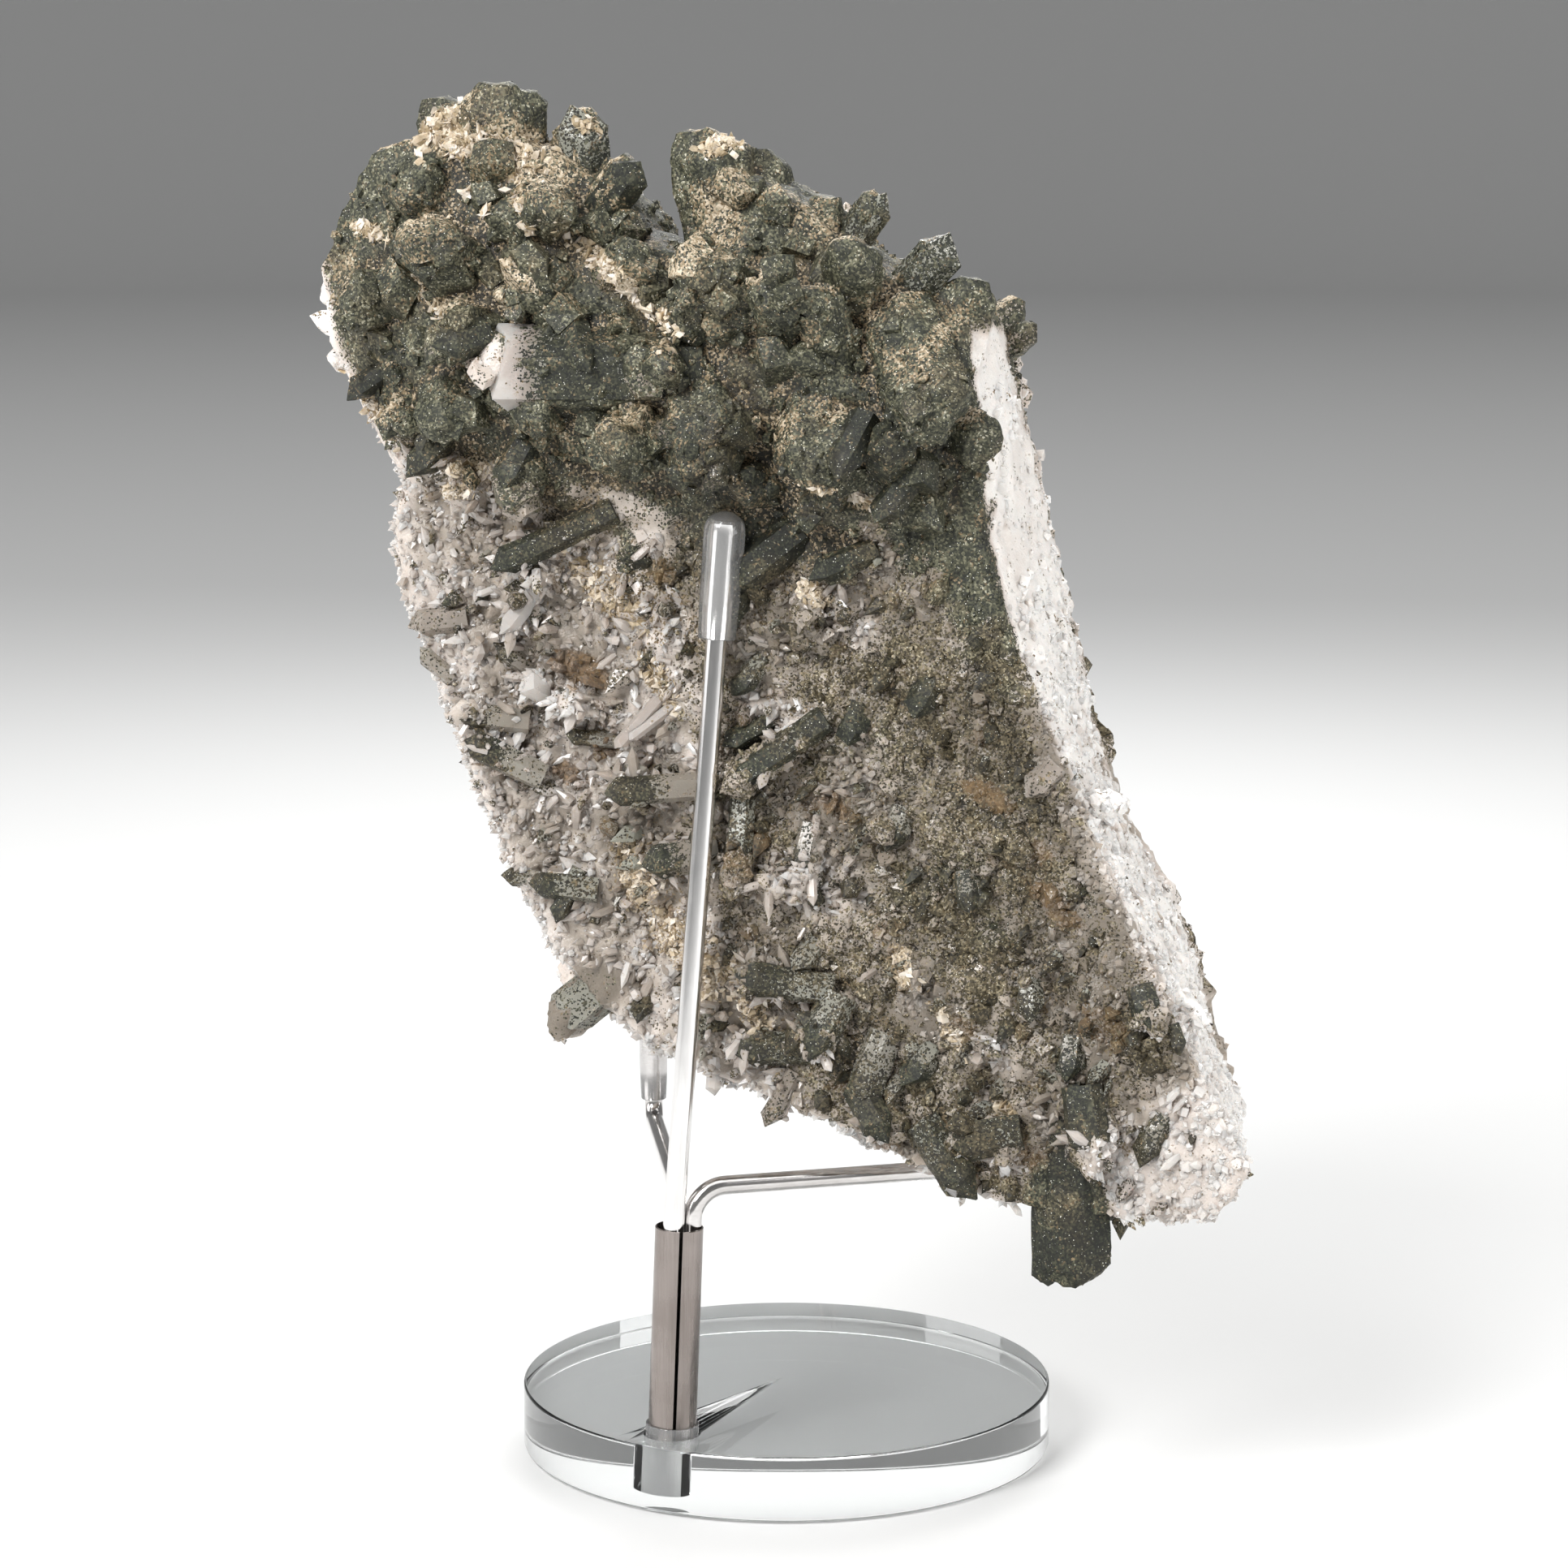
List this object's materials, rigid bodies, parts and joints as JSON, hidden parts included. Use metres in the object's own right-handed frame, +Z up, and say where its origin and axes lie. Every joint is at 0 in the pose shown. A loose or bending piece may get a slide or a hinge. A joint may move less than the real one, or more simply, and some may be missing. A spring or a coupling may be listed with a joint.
{
  "type": "quartz specimen on a display stand",
  "caption": "Upright plate of intergrown quartz crystals with chlorite and adularia, held by a steel rod and bent arms on a round clear acrylic base.",
  "frame": {"origin": "centre of the base disc's underside", "axes": "+Z up, +X to the right and +Y away from someone who faces the specimen's displayed side"},
  "size_m": [0.1284, 0.078, 0.1917],
  "materials": {
    "quartz": "grainy dark green and grey-brown chlorite coat over milky and clear quartz",
    "acrylic": "clear, polished",
    "silicone": "clear, soft gloss",
    "tube_steel": "brownish nickel, drawn along its length",
    "rod_steel": "bright polished"
  },
  "bodies": {
    "root": {"base_disc": "acrylic", "socket_liner": "silicone", "post_tube": "tube_steel", "tall_rod": "rod_steel", "tall_rod_sleeve": "silicone", "right_arm": "rod_steel", "right_arm_sleeve": "silicone", "back_arm": "rod_steel", "back_arm_sleeve": "silicone", "quartz_specimen": "quartz"}
  },
  "joints": []
}
